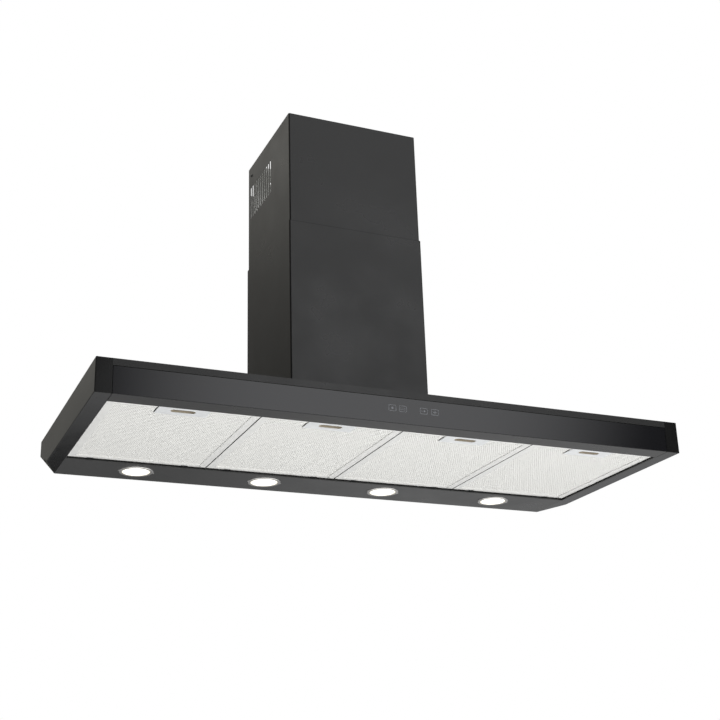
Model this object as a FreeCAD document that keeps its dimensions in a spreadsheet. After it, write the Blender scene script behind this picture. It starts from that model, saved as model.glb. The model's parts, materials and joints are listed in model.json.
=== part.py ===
"""Wall-mounted chimney range hood, 120 cm wide, as an assembly of separate pieces.

Frame: X to the right as seen from the front, +Y into the wall, Z up. The origin is on the wall plane
(Y = 0), in the middle of the width, at the height of the canopy's underside. Lengths are in mm.
"""
import FreeCAD, Part
import math
import os
import re

from FreeCAD import Placement, Rotation, Vector
import Sketcher

# --------------------------------------------------------------------------- driving dimensions
SIZES = {
    # canopy
    "canopy_width": 1200,
    "canopy_depth": 520,
    "canopy_height": 65,
    "steel": 1,
    "cap_width": 30,
    "cap_wall": 2,
    "cap_bevel_y": 86,
    "cap_bevel_z": 33,
    "cap_seam": 2,
    "edge_round": 1.5,
    "front_strip": 13,
    "return_depth": 5,
    "lip_depth": 41,
    "lip_flange": 7,
    "rear_strip": 114,
    "strip_flange": 12,
    "rear_flange": 16,
    "airway_margin": 12,
    "airway_rear": 14,
    # glass control panel
    "glass_thick": 4,
    "glass_gap": 1,
    "glass_seat_gap": 0.2,
    "tape_thick": 1,
    "tape_width": 18,
    "tape_height": 8,
    "tape_end": 4,
    "tape_inset": 3,
    "sensor_window": 150,
    "sensor_low": 18,
    "sensor_high": 42,
    "board_thick": 1.6,
    "board_margin": 8,
    "board_low": 10,
    "board_high": 48,
    "key_half": 8,
    "key_low": 22,
    "key_high": 38,
    "chip_height": 3,
    "chip_top": 34,
    # filters
    "filter_count": 4,
    "filter_gap": 2,
    "filter_edge_gap": 1,
    "filter_thick": 9,
    "filter_recess": 4,
    "filter_border": 15,
    "mesh_recess": 1.2,
    "mesh_thick": 5.8,
    "mesh_tuck": 5,
    "drain_radius": 2.5,
    "drain_setback": 9,
    "pintle_radius": 1.75,
    "hook_gap": 0.4,
    "hook_inset": 45,
    "hook_width": 10,
    "hook_notch": 14,
    "hook_steel": 0.8,
    "hook_cover": 0.8,
    "hook_clear": 2.6,
    "hook_depth": 6,
    # filter latches
    "latch_width": 96,
    "latch_depth": 37,
    "latch_setback": 10.5,
    "latch_travel": 6,
    "latch_play": 0.5,
    "latch_plate": 1,
    "latch_roof": 1,
    "latch_roof_gap": 0.2,
    "latch_ear": 8,
    "pull_setback": 16,
    "pull_wall": 1,
    "latch_slit": 2,
    "pull_length": 46,
    "pull_width": 14,
    "tongue_width": 30,
    "tongue_thick": 1.5,
    "tongue_catch": 4,
    "spring_length": 12.5,
    "spring_radius": 2.2,
    "spring_wire": 0.5,
    # lamps
    "lamp_pitch": 277,
    "lamp_setback": 6,
    "lens_radius": 29,
    "lens_thick": 2.5,
    "lens_play": 0.2,
    "lens_inset": 0.4,
    "bezel_wall": 1.5,
    "bezel_play": 0.3,
    "bezel_flange": 4,
    "bezel_thick": 1.5,
    "bezel_depth": 8,
    "lamp_height": 26,
    "fin_inset": 3,
    "fin_depth": 5,
    "fin_gap": 3,
    "fin_thick": 0.5,
    "clip_reach": 9,
    "clip_width": 8,
    # blower
    "box_side_gap": 20,
    "box_front_gap": 25,
    "box_height": 270,
    "box_steel": 1.2,
    "wall_hole_x": 180,
    "wall_hole_z": 120,
    "wall_hole_radius": 4.5,
    "fan_y": 127,
    "fan_height": 125,
    "casing_width": 118,
    "casing_steel": 1.2,
    "casing_gap": 8,
    "casing_growth": 9,
    "outlet_inset": 10,
    "inlet_step": 2,
    "wheel_radius": 78,
    "wheel_width": 100,
    "wheel_ring": 5,
    "wheel_ring_width": 3,
    "hub_length": 20,
    "hub_wall": 8,
    "blade_depth": 16,
    "blade_lead": 7,
    "blade_thick": 1.3,
    "blade_count": 36,
    "motor_radius": 42,
    "motor_chamfer": 6,
    "motor_gap": 23,
    "motor_nose": 6,
    "motor_flange": 6,
    "bracket_plate": 2,
    "bracket_arm": 18,
    "shaft_radius": 4,
    "shaft_play": 0.05,
    "shaft_seat": 30,
    "shaft_end": 22,
    "cable_radius": 4,
    "gland_radius": 8,
    "gland_flange": 4,
    "gland_inset": 16,
    "gland_setback": 20,
    "gland_below": 10,
    "gland_nut": 6,
    "gland_above": 14,
    # duct collar and flaps
    "collar_radius": 75,
    "collar_wall": 1.2,
    "collar_height": 44,
    "collar_margin": 14,
    "flap_height": 14,
    "flap_gap": 1,
    "flap_thick": 1,
    "flap_offset": 3.2,
    "pin_radius": 1.5,
    "pin_play": 0.05,
    "pin_inset": 0.4,
    "knuckle_wall": 1,
    "knuckle_inset": 10,
    # electrical boxes
    "power_wall": 2.5,
    "power_lid": 3,
    "power_round": 3,
    # chimney
    "chimney_width": 310,
    "chimney_depth": 279,
    "lower_length": 454,
    "upper_length": 460,
    "chimney_overlap": 197,
    "chimney_play": 1,
    "chimney_wall_gap": 2,
    "cover_round": 3,
    "cover_flange": 14,
    "cover_screw_inset": 55,
    "rear_return": 12,
    "return_stop": 67,
    "slot_count": 11,
    "slot_pitch": 13.5,
    "slot_width": 7,
    "slot_height": 81,
    "slot_rear": 19,
    "slot_drop": 55,
    # ceiling-end wall bracket
    "bracket_reach": 35,
    "bracket_height": 34,
    "bracket_steel": 1.5,
    "bracket_drop": 4,
    "bracket_leg_width": 48,
    "bracket_leg_length": 104,
    "bracket_play": 0.1,
    "bracket_stop": 2,
    "bracket_ear_gap": 5,
    "bracket_hole_x": 100,
    "bracket_hole_z": 14,
    "bracket_hole_radius": 3,
    "bracket_screw_y": 12,
    # small fixings
    "screw_radius": 2,
    "screw_head": 3.8,
    "screw_length": 8,
    "screw_edge": 6,
    "cover_screw_y": 8,
}

doc = FreeCAD.newDocument("range_hood")
sheet = doc.addObject("Spreadsheet::Sheet", "Sizes")
for row, (alias, size) in enumerate(SIZES.items(), start=1):
    sheet.set(f"A{row}", alias)
    sheet.set(f"B{row}", str(size))
    sheet.setAlias(f"B{row}", alias)
doc.recompute()

# --------------------------------------------------------------------------- places worked out from them
FRONT = "(-canopy_depth)"
TOP = "canopy_height"
HALF_BODY = "(canopy_width/2 - cap_width)"
HALF_INSIDE = "(canopy_width/2 - cap_width - steel)"
SEAT = "(-canopy_depth + glass_thick + tape_thick)"
LIP_BACK = "(-canopy_depth + lip_depth)"
GLASS_TOP = "(canopy_height - front_strip - glass_gap)"
FILTER_WIDTH = "((canopy_width - 2*cap_width - 2*steel - (filter_count + 1)*filter_gap)/filter_count)"
FILTER_FRONT = "(-canopy_depth + lip_depth + filter_edge_gap)"
FILTER_BACK = "(-rear_strip - filter_edge_gap)"
FILTER_TOP = "(filter_recess + filter_thick)"
PIVOT_Y = "(-rear_strip - filter_edge_gap - filter_thick/2)"
PIVOT_Z = "(filter_recess + filter_thick/2)"
MESH_LOW = "(filter_recess + mesh_recess)"
MESH_HIGH = "(filter_recess + mesh_recess + mesh_thick)"
LATCH_FRONT = "(-canopy_depth + lip_depth + filter_edge_gap + latch_setback)"
LATCH_FLOOR = "(filter_recess + latch_plate)"
PULL_Y = "(-canopy_depth + lip_depth + filter_edge_gap + latch_setback + pull_setback)"
CUP_FRONT = f"({PULL_Y} - pull_width/2 - pull_wall)"
CUP_BACK = f"({PULL_Y} + pull_width/2 + pull_wall)"
LAMP_Y = "(-rear_strip/2 - lamp_setback)"
LAMP_HOLE = "(lens_radius + lens_play + bezel_wall + bezel_play)"
BEZEL_BORE = "(lens_radius + lens_play)"
BEZEL_OUTSIDE = "(lens_radius + lens_play + bezel_wall)"
BEZEL_RIM = "(lens_radius + lens_play + bezel_wall + bezel_play + bezel_flange)"
LENS_LOW = "(-bezel_thick + lens_inset)"
LENS_HIGH = "(-bezel_thick + lens_inset + lens_thick)"
BOX_HALF = "(chimney_width/2 - box_side_gap)"
BOX_FRONT = "(-chimney_depth + box_front_gap)"
BOX_TOP = "(canopy_height + box_height)"
FAN_Z = "(canopy_height + fan_height)"
WHEEL_BORE = "(wheel_radius - blade_depth)"
INLET = "(wheel_radius - blade_depth - inlet_step)"
COLLAR_HALF = "(collar_radius + collar_margin)"
COLLAR_BORE = "(collar_radius - collar_wall)"
GLAND_X = f"({BOX_HALF} - gland_inset)"
GLAND_Y = f"({BOX_FRONT} + gland_setback)"
FLAP_Z = "(canopy_height + box_height + flap_height)"
UPPER_LOW = "(canopy_height + lower_length - chimney_overlap)"
UPPER_TOP = "(canopy_height + lower_length - chimney_overlap + upper_length)"
UPPER_HALF = "(chimney_width/2 - steel - chimney_play)"
UPPER_FRONT = "(-chimney_depth + steel + chimney_play)"

COVER_SCREWS = [(f"{i}*(chimney_width/2 - cover_screw_inset)", "(-chimney_depth + cover_screw_y)")
                for i in (-1, 0, 1)]
COLLAR_SCREWS = [(f"{i}*({COLLAR_HALF} - screw_edge)", f"(-fan_y + {j}*({COLLAR_HALF} - screw_edge))")
                 for i in (-1, 1) for j in (-1, 1)]
BRACKET_SCREW_Y = "(-bracket_reach + bracket_screw_y)"
BRACKET_SCREW_Z = f"({UPPER_TOP} - bracket_drop - bracket_height + bracket_hole_z)"
KEY_CENTRES = ("-45", "-22", "20", "45")
CHIPS = (("-60", 10), ("0", 16), ("62", 8))
FILTERS = range(1, int(SIZES["filter_count"]) + 1)
LAMPS = range(1, 5)

AXIS_X = Vector(1, 0, 0)
AXIS_Y = Vector(0, 1, 0)
AXIS_Z = Vector(0, 0, 1)
NODES = []


def bound(text):
    """An expression on the sheet's aliases, from one written with their bare names."""
    return re.sub(r"[a-z][a-z_]*", lambda m: ("Sizes." if m.group() in SIZES else "") + m.group(), str(text))


def size(text):
    """The present value of such an expression."""
    return float(sheet.evalExpression(bound(text)))


def tie(thing, prop, text):
    """Binds one property of an object to the sheet."""
    thing.setExpression(prop, bound(text))


def node(thing, label):
    """Marks an object as a sub-part, under the name that its file gets."""
    thing.Label = label
    NODES.append(thing)
    return thing


def place(thing, x=None, y=None, z=None):
    """Binds an object's place to the sheet."""
    for axis, text in (("x", x), ("y", y), ("z", z)):
        if text is not None:
            tie(thing, f"Placement.Base.{axis}", text)
    return thing


# --------------------------------------------------------------------------- PartDesign helpers
def new_body(label):
    return node(doc.addObject("PartDesign::Body", label), label)


def new_sketch(body, plane="XY_Plane", offset="0"):
    """A sketch on one of the body's own origin planes, moved along its normal."""
    sketch = body.newObject("Sketcher::SketchObject", body.Label + "_sketch")
    origin_plane = [o for o in body.Origin.OriginFeatures if o.Role == plane][0]
    sketch.AttachmentSupport = [(origin_plane, "")]
    sketch.MapMode = "FlatFace"
    if plane == "XZ_Plane":
        tie(sketch, "AttachmentOffset.Base.z", f"-({offset})")
    else:
        tie(sketch, "AttachmentOffset.Base.z", offset)
    return sketch


def polygon(sketch, points):
    """A closed outline of straight lines, each corner tied to the sheet."""
    first = sketch.GeometryCount
    corners = [Vector(size(u), size(v), 0) for u, v in points]
    count = len(points)
    for i in range(count):
        sketch.addGeometry(Part.LineSegment(corners[i], corners[(i + 1) % count]), False)
    for i in range(count):
        sketch.addConstraint(Sketcher.Constraint("Coincident", first + i, 2, first + (i + 1) % count, 1))
    for i, (u, v) in enumerate(points):
        for kind, text, value in (("DistanceX", u, corners[i].x), ("DistanceY", v, corners[i].y)):
            index = sketch.addConstraint(Sketcher.Constraint(kind, -1, 1, first + i, 1, value))
            tie(sketch, f"Constraints[{index}]", text)
    return sketch


def rectangle(sketch, u0, u1, v0, v1):
    return polygon(sketch, [(u0, v0), (u1, v0), (u1, v1), (u0, v1)])


def circle(sketch, u, v, radius):
    index = sketch.addGeometry(Part.Circle(Vector(size(u), size(v), 0), AXIS_Z, size(radius)), False)
    for constraint, text in (
        (Sketcher.Constraint("DistanceX", -1, 1, index, 3, size(u)), u),
        (Sketcher.Constraint("DistanceY", -1, 1, index, 3, size(v)), v),
        (Sketcher.Constraint("Radius", index, size(radius)), radius),
    ):
        tie(sketch, f"Constraints[{sketch.addConstraint(constraint)}]", text)
    return sketch


def feature(body, kind, sketch, length, symmetric=False, reverse=False):
    made = body.newObject("PartDesign::" + kind, f"{body.Label}_{kind.lower()}")
    made.Profile = sketch
    tie(made, "Length", length)
    if symmetric:
        made.SideType = "Symmetric"
    made.Reversed = reverse
    return made


def pad_box(body, x0, x1, y0, y1, z0, z1):
    """A block of material between six planes."""
    sketch = rectangle(new_sketch(body, "XY_Plane", z0), x0, x1, y0, y1)
    return feature(body, "Pad", sketch, f"({z1}) - ({z0})")


def cut_box(body, x0, x1, y0, y1, z0, z1):
    """An opening between six planes; a pocket runs against its sketch's normal, so it is reversed."""
    sketch = rectangle(new_sketch(body, "XY_Plane", z0), x0, x1, y0, y1)
    return feature(body, "Pocket", sketch, f"({z1}) - ({z0})", reverse=True)


def bore_z(body, x, y, z0, z1, radius):
    """A round hole through a level sheet."""
    sketch = circle(new_sketch(body, "XY_Plane", z0), x, y, radius)
    return feature(body, "Pocket", sketch, f"({z1}) - ({z0})", reverse=True)


def pad_profile(body, points, length):
    """A bent-sheet profile in Y and Z, run along X, half each side of the middle."""
    return feature(body, "Pad", polygon(new_sketch(body, "YZ_Plane"), points), length, symmetric=True)


def turned(body, points, axis="V_Axis", plane="XZ_Plane"):
    """A shape turned about an axis of its sketch."""
    sketch = polygon(new_sketch(body, plane), points)
    made = body.newObject("PartDesign::Revolution", body.Label + "_turned")
    made.Profile = sketch
    made.ReferenceAxis = (sketch, [axis])
    made.Angle = 360
    return made


def patterned(body, source, axis, length, count):
    """Repeats a feature along an axis of its own sketch."""
    made = body.newObject("PartDesign::LinearPattern", body.Label + "_row")
    made.Originals = [source]
    made.Direction = (source.Profile[0], [axis])
    tie(made, "Length", length)
    tie(made, "Occurrences", count)
    body.Tip = made
    return made


def round_edges(body, radius, wanted):
    """Rounds the edges of the body's last feature that the test picks."""
    doc.recompute()
    base = body.Tip
    names = [f"Edge{i + 1}" for i, edge in enumerate(base.Shape.Edges) if wanted(edge)]
    made = body.newObject("PartDesign::Fillet", body.Label + "_rounding")
    made.Base = (base, names)
    tie(made, "Radius", radius)
    return made


def upright_at(edge, x, y):
    """True for a vertical edge at this X (either side) and Y."""
    box = edge.BoundBox
    is_upright = box.XLength < 1e-6 and box.YLength < 1e-6
    return is_upright and abs(abs(box.XMin) - x) < 1e-4 and abs(box.YMin - y) < 1e-4


# --------------------------------------------------------------------------- Part helpers
def block(name, x0, x1, y0, y1, z0, z1):
    thing = doc.addObject("Part::Box", name)
    tie(thing, "Length", f"({x1}) - ({x0})")
    tie(thing, "Width", f"({y1}) - ({y0})")
    tie(thing, "Height", f"({z1}) - ({z0})")
    return place(thing, x0, y0, z0)


def rod(name, radius, length, x, y, z, along=AXIS_Z):
    thing = doc.addObject("Part::Cylinder", name)
    thing.Placement = Placement(Vector(), Rotation(AXIS_Z, along))
    tie(thing, "Radius", radius)
    tie(thing, "Height", length)
    return place(thing, x, y, z)


def joined(name, pieces):
    thing = doc.addObject("Part::MultiFuse", name)
    thing.Shapes = pieces
    return thing


def cut(name, base, tool):
    thing = doc.addObject("Part::Cut", name)
    thing.Base = base
    thing.Tool = tool
    return thing


def group(label, pieces):
    """Several separate solids that share one node."""
    thing = doc.addObject("Part::Compound", label)
    thing.Links = pieces
    return node(thing, label)


# --------------------------------------------------------------------------- canopy
def canopy_top():
    """Top sheet with the front strip bent down over the glass, and the air way into the blower."""
    body = new_body("canopy_top")
    pad_profile(body, [
        (FRONT, TOP), (FRONT, f"{TOP} - front_strip"),
        (f"{FRONT} + return_depth", f"{TOP} - front_strip"),
        (f"{FRONT} + return_depth", f"{TOP} - front_strip + steel"),
        (f"{FRONT} + steel", f"{TOP} - front_strip + steel"),
        (f"{FRONT} + steel", f"{TOP} - steel"),
        ("0", f"{TOP} - steel"), ("0", TOP),
    ], f"2*{HALF_BODY}")
    cut_box(body, f"-{BOX_HALF} + airway_margin", f"{BOX_HALF} - airway_margin",
            f"{BOX_FRONT} + airway_margin", "-airway_rear", f"{TOP} - steel", TOP)
    for x, y in COVER_SCREWS:
        bore_z(body, x, y, f"{TOP} - steel", TOP, "screw_radius")


def front_rail():
    """Folded rail behind the glass: lip underneath, seat plate for the glass, flange for the latches."""
    body = new_body("front_rail")
    pad_profile(body, [
        (FRONT, "0"), (LIP_BACK, "0"), (LIP_BACK, "lip_flange"), (f"{LIP_BACK} - steel", "lip_flange"),
        (f"{LIP_BACK} - steel", "steel"), (f"{SEAT} + steel", "steel"),
        (f"{SEAT} + steel", f"{TOP} - front_strip"), (SEAT, f"{TOP} - front_strip"), (SEAT, "steel"),
        (FRONT, "steel"),
    ], f"2*{HALF_INSIDE}")
    window = rectangle(new_sketch(body, "XZ_Plane", SEAT), "-sensor_window/2", "sensor_window/2",
                       "sensor_low", "sensor_high")
    feature(body, "Pocket", window, "steel", reverse=False)


def back_panel():
    """Upright rear sheet of the canopy, flat against the wall."""
    body = new_body("back_panel")
    pad_box(body, f"-{HALF_BODY}", HALF_BODY, "-box_steel", "0", "steel", f"{TOP} - steel")


def light_panel():
    """Rear strip with its flanges and the lamp holes."""
    body = new_body("light_panel")
    pad_profile(body, [
        ("-rear_strip", "0"), ("0", "0"), ("0", "steel"), ("-box_steel", "steel"),
        ("-box_steel", "rear_flange"), ("-box_steel - steel", "rear_flange"),
        ("-box_steel - steel", "steel"), ("-rear_strip + steel", "steel"),
        ("-rear_strip + steel", "strip_flange"), ("-rear_strip", "strip_flange"),
    ], f"2*{HALF_INSIDE}")
    hole = circle(new_sketch(body, "XY_Plane", "0"), "-1.5*lamp_pitch", LAMP_Y, LAMP_HOLE)
    first = feature(body, "Pocket", hole, "steel", reverse=True)
    patterned(body, first, "H_Axis", "3*lamp_pitch", "4")


def side_panel(side):
    """Inner side sheet that closes the canopy and carries an end cap."""
    label = "left_side_panel" if side < 0 else "right_side_panel"
    body = new_body(label)
    edges = sorted([f"{side}*{HALF_BODY}", f"{side}*{HALF_INSIDE}"], key=size)
    pad_box(body, *edges, SEAT, "-box_steel", "0", f"{TOP} - steel")
    cut_box(body, *edges, SEAT, LIP_BACK, "0", "cap_seam")


def corner_tool(name, side, back, outside, bottom, offset):
    """A solid that takes off the lower rear outer corner along one slanting plane."""
    reach = size("cap_width"), size("cap_bevel_y"), size("cap_bevel_z")
    slant = Vector(side / reach[0], 1 / reach[1], -1 / reach[2])
    distance = 1 / slant.Length - offset
    corner = Vector(size(outside), size(back), size(bottom))
    across = Rotation(AXIS_Z, slant)
    tool = doc.addObject("Part::Box", name)
    span = 4 * max(reach)
    tool.Length = span
    tool.Width = span
    tool.Height = span
    middle = across.multVec(Vector(-span / 2, -span / 2, 0))
    tool.Placement = Placement(corner - slant.normalize() * distance + middle, across)
    return tool


def end_cap(side):
    """Moulded end cap: a hollow box, open towards the canopy, with its lower rear corner bevelled."""
    label = "left_end_cap" if side < 0 else "right_end_cap"
    outside, inside = f"{side}*canopy_width/2", f"{side}*{HALF_BODY}"
    wall = f"{side}*(canopy_width/2 - cap_wall)"
    outer_x = sorted([outside, inside], key=size)
    inner_x = sorted([wall, inside], key=size)
    outer = block(label + "_outer", *outer_x, FRONT, "0", "0", TOP)
    doc.recompute()
    rounded = doc.addObject("Part::Fillet", label + "_rounded")
    rounded.Base = outer
    x_out = size(outside)
    picked = [
        i + 1 for i, e in enumerate(outer.Shape.Edges)
        if abs(e.BoundBox.XMin - x_out) < 1e-4 and abs(e.BoundBox.XMax - x_out) < 1e-4
    ]
    radius = min(size("edge_round"), size("cap_wall") * 0.75)
    rounded.Edges = [(i, radius, radius) for i in picked]
    shell = cut(label + "_shell", rounded, corner_tool(label + "_bevel", side, "0", outside, "0", 0))
    hollow = block(
        label + "_hollow", *inner_x, f"{FRONT} + cap_wall", "-cap_wall", "cap_wall", f"{TOP} - cap_wall")
    room = cut(label + "_room", hollow, corner_tool(
        label + "_bevel_inside", side, "0", outside, "0", -size("cap_wall")))
    node(cut(label, shell, room), label)


# --------------------------------------------------------------------------- control panel
def glass_panel():
    """Black glass across the front, with polished edges."""
    body = new_body("glass_panel")
    pad_box(body, f"-{HALF_BODY} + glass_gap", f"{HALF_BODY} - glass_gap", FRONT, f"{FRONT} + glass_thick",
            "steel + glass_seat_gap", GLASS_TOP)


def glass_tape():
    """Ring of foam tape that holds the glass on the rail."""
    body = new_body("glass_tape")
    low, high = "steel + tape_inset", f"{GLASS_TOP} - tape_inset"
    front, back = f"{FRONT} + glass_thick", SEAT
    end = f"({HALF_INSIDE} - tape_end)"
    pad_box(body, f"-{end}", end, front, back, low, high)
    cut_box(body, f"-{end} + tape_width", f"{end} - tape_width", front, back,
            f"{low} + tape_height", f"{high} - tape_height")


def touch_board():
    """Circuit board with four touch pads behind the glass, and its small components."""
    body = new_body("touch_board")
    face = f"{SEAT} + steel"
    back = f"{face} + board_thick"
    pad_box(body, "-sensor_window/2 - board_margin", "sensor_window/2 + board_margin", face, back,
            "board_low", "board_high")
    for centre in KEY_CENTRES:
        pad_box(body, f"{centre} - key_half", f"{centre} + key_half", f"{face} - steel", face,
                "key_low", "key_high")
    for centre, width in CHIPS:
        pad_box(body, f"{centre} - {width / 2}", f"{centre} + {width / 2}", back, f"{back} + chip_height",
                "key_low", "chip_top")


# --------------------------------------------------------------------------- filters
def filter_middle(number):
    return f"(-{HALF_INSIDE} + filter_gap + {FILTER_WIDTH}/2 + {number - 1}*({FILTER_WIDTH} + filter_gap))"


def filter_frame(number):
    """Frame of one grease filter. Its rear edge is rolled about the pivot, with two pintles in notches.
    A thin skin closes the front of each notch, clear of the hook as the filter swings."""
    body = new_body(f"filter_{number}_frame")
    half = f"{FILTER_WIDTH}/2"
    pad_box(body, f"-{half}", half, FILTER_FRONT, PIVOT_Y, "filter_recess", FILTER_TOP)
    roll = circle(new_sketch(body, "YZ_Plane"), PIVOT_Y, PIVOT_Z, "filter_thick/2")
    feature(body, "Pad", roll, FILTER_WIDTH, symmetric=True)
    opening_front, opening_back = f"{FILTER_FRONT} + filter_border", f"{FILTER_BACK} - filter_border"
    cut_box(body, f"-{half} + filter_border", f"{half} - filter_border", opening_front, opening_back,
            "filter_recess", FILTER_TOP)
    cut_box(body, f"-{half} + filter_border - mesh_tuck", f"{half} - filter_border + mesh_tuck",
            f"{opening_front} - mesh_tuck", f"{opening_back} + mesh_tuck", MESH_LOW, MESH_HIGH)
    for side in (-1, 1):
        centre = f"{side}*({half} - hook_inset)"
        left, right = f"{centre} - hook_notch/2", f"{centre} + hook_notch/2"
        cut_box(body, left, right, f"{PIVOT_Y} - hook_depth", FILTER_BACK, "filter_recess + hook_cover",
                FILTER_TOP)
        cut_box(body, left, right, f"{PIVOT_Y} - hook_clear", FILTER_BACK, "filter_recess",
                "filter_recess + hook_cover")
    pintle = circle(new_sketch(body, "YZ_Plane"), PIVOT_Y, PIVOT_Z, "pintle_radius")
    feature(body, "Pad", pintle, f"{FILTER_WIDTH} - hook_notch", symmetric=True)
    cut_box(body, "-latch_width/2 - latch_slit", "latch_width/2 + latch_play", f"{LATCH_FRONT} - latch_play",
            opening_front, "filter_recess", FILTER_TOP)
    cut_box(body, "-tongue_width/2 - 2*latch_play", "tongue_width/2 + 2*latch_play", FILTER_FRONT,
            LATCH_FRONT, f"{PIVOT_Z} - latch_play", f"{PIVOT_Z} + tongue_thick + latch_play")
    bore_z(body, f"{half} - filter_border + drain_radius/2", f"{FILTER_BACK} - drain_setback", "filter_recess",
           FILTER_TOP, "drain_radius")
    place(body, x=filter_middle(number))


def filter_mesh(number):
    """Pack of expanded aluminium mesh, held in the frame's groove, cut away for the latch and its spring."""
    body = new_body(f"filter_{number}_mesh")
    half = f"({FILTER_WIDTH}/2 - filter_border + mesh_tuck)"
    front = f"{FILTER_FRONT} + filter_border - mesh_tuck"
    pad_box(body, f"-{half}", half, front, f"{FILTER_BACK} - filter_border + mesh_tuck", MESH_LOW, MESH_HIGH)
    cut_box(body, "-latch_width/2 - latch_slit", "latch_width/2 + latch_play", front,
            f"{FILTER_FRONT} + filter_border", MESH_LOW, MESH_HIGH)
    cut_box(body, "-latch_width/2 - latch_slit", "-latch_width/2", front, f"{LATCH_FRONT} + latch_depth",
            MESH_LOW, MESH_HIGH)
    cup_room = "(pull_length/2 + pull_wall + 4*latch_play)"
    cut_box(body, f"-{cup_room}", cup_room, front, f"{CUP_BACK} + latch_travel + 2*latch_play",
            MESH_LOW, MESH_HIGH)
    cut_box(body, "-spring_radius - 2*latch_play", "spring_radius + 2*latch_play", PULL_Y,
            f"{CUP_BACK} + spring_length", MESH_LOW, MESH_HIGH)
    place(body, x=filter_middle(number))


def latch(number):
    """Sliding latch: cover plate, recessed finger pull, retaining flange above the mesh, and a tongue."""
    body = new_body(f"latch_{number}")
    roof_low, roof_high = f"({MESH_HIGH} + latch_roof_gap)", f"({MESH_HIGH} + latch_roof_gap + latch_roof)"
    cup_end = "(pull_length/2 + pull_wall)"
    pad_box(body, "-latch_width/2", "latch_width/2", LATCH_FRONT, f"{LATCH_FRONT} + latch_depth",
            "filter_recess", LATCH_FLOOR)
    pad_box(body, f"-{cup_end}", cup_end, CUP_FRONT, CUP_BACK, LATCH_FLOOR, roof_low)
    pad_box(body, f"-{cup_end} - latch_ear", f"{cup_end} + latch_ear", f"{CUP_FRONT} + latch_ear/2", CUP_BACK,
            roof_low, roof_high)
    pad_box(body, "-tongue_width/2", "tongue_width/2", f"{LIP_BACK} - tongue_catch", CUP_FRONT,
            PIVOT_Z, f"{PIVOT_Z} + tongue_thick")
    recess = f"{PIVOT_Z} + pull_wall"
    cut_box(body, "-pull_length/2 + pull_width/2", "pull_length/2 - pull_width/2", f"{PULL_Y} - pull_width/2",
            f"{PULL_Y} + pull_width/2", "filter_recess", recess)
    for side in (-1, 1):
        end = circle(new_sketch(body, "XY_Plane", "filter_recess"), f"{side}*(pull_length/2 - pull_width/2)",
                     PULL_Y, "pull_width/2")
        feature(body, "Pocket", end, f"{recess} - filter_recess", reverse=True)
    place(body, x=filter_middle(number))


def latch_spring(number):
    """Small coil spring that pushes the latch's tongue over the rail flange."""
    wire = size("spring_wire")
    coil_radius = size("spring_radius") - wire / 2
    start = Vector(size(filter_middle(number)), size(CUP_BACK), size(PIVOT_Z))
    run = size("spring_length") - wire
    helix = Part.makeHelix(run / 5, run, coil_radius)
    section = Part.Wire(Part.makeCircle(wire / 2, Vector(coil_radius, 0, 0), AXIS_Y))
    coil = Part.Wire(helix.Edges).makePipeShell([section], True, True)
    thing = doc.addObject("Part::Feature", f"latch_{number}_spring")
    thing.Shape = coil
    thing.Placement = Placement(start + AXIS_Y * (wire / 2), Rotation(AXIS_Z, AXIS_Y))
    node(thing, f"latch_{number}_spring")


def filter_hooks():
    """Two steel hooks per filter on the rear strip's flange; the pintles rest in them."""
    hooks = []
    for number in FILTERS:
        for side in (-1, 1):
            name = f"hook_{number}_{'a' if side < 0 else 'b'}"
            middle = f"({filter_middle(number)} + {side}*({FILTER_WIDTH}/2 - hook_inset))"
            left, right = f"{middle} - hook_width/2", f"{middle} + hook_width/2"
            front = f"({PIVOT_Y} - pintle_radius - hook_gap - hook_steel)"
            floor_high = f"({PIVOT_Z} - pintle_radius - hook_gap)"
            floor_low = f"({floor_high} - hook_steel)"
            leg = block(name + "_leg", left, right, "-rear_strip - hook_steel", "-rear_strip", floor_low,
                        "strip_flange + hook_depth")
            floor = block(name + "_floor", left, right, front, "-rear_strip - hook_steel/2",
                          floor_low, floor_high)
            tip = block(name + "_tip", left, right, front, f"{front} + hook_steel", floor_low, PIVOT_Z)
            hooks.append(joined(name, [leg, floor, tip]))
    group("filter_hooks", hooks)


# --------------------------------------------------------------------------- lamps
def lamp(number):
    """One round lamp: bezel through the strip, lens, and the housing with cooling fins."""
    x = f"(lamp_pitch*({number} - 2.5))"
    bezel = new_body(f"lamp_{number}_bezel")
    turned(bezel, [
        (BEZEL_BORE, "-bezel_thick"), (f"{BEZEL_RIM} - 2*bezel_thick/3", "-bezel_thick"),
        (BEZEL_RIM, "-bezel_thick/3"), (BEZEL_RIM, "0"), (BEZEL_OUTSIDE, "0"),
        (BEZEL_OUTSIDE, "steel + bezel_depth"), (BEZEL_BORE, "steel + bezel_depth"),
    ])
    lens = new_body(f"lamp_{number}_lens")
    turned(lens, [("0", LENS_LOW), ("lens_radius", LENS_LOW), ("lens_radius", LENS_HIGH), ("0", LENS_HIGH)])
    housing = new_body(f"lamp_{number}_housing")
    rim, rim_top = "(lens_radius - lens_play/2)", f"({LENS_HIGH} + fin_gap + 2*fin_thick)"
    outside, inside = "(lens_radius - fin_inset)", "(lens_radius - fin_inset - fin_depth)"
    points = [("0", LENS_HIGH), (rim, LENS_HIGH), (rim, rim_top), (outside, rim_top)]
    for fin in range(3):
        foot = f"{rim_top} + {fin + 0.5}*(lamp_height - fin_gap - 2*fin_thick)/4"
        points += [
            (inside, foot), (inside, f"{foot} + fin_gap"),
            (outside, f"{foot} + fin_gap"), (outside, f"{foot} + fin_gap + fin_thick"),
        ]
    points.append(("0", points[-1][1]))
    turned(housing, points)
    for piece in (bezel, lens, housing):
        place(piece, x=x, y=LAMP_Y)


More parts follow.
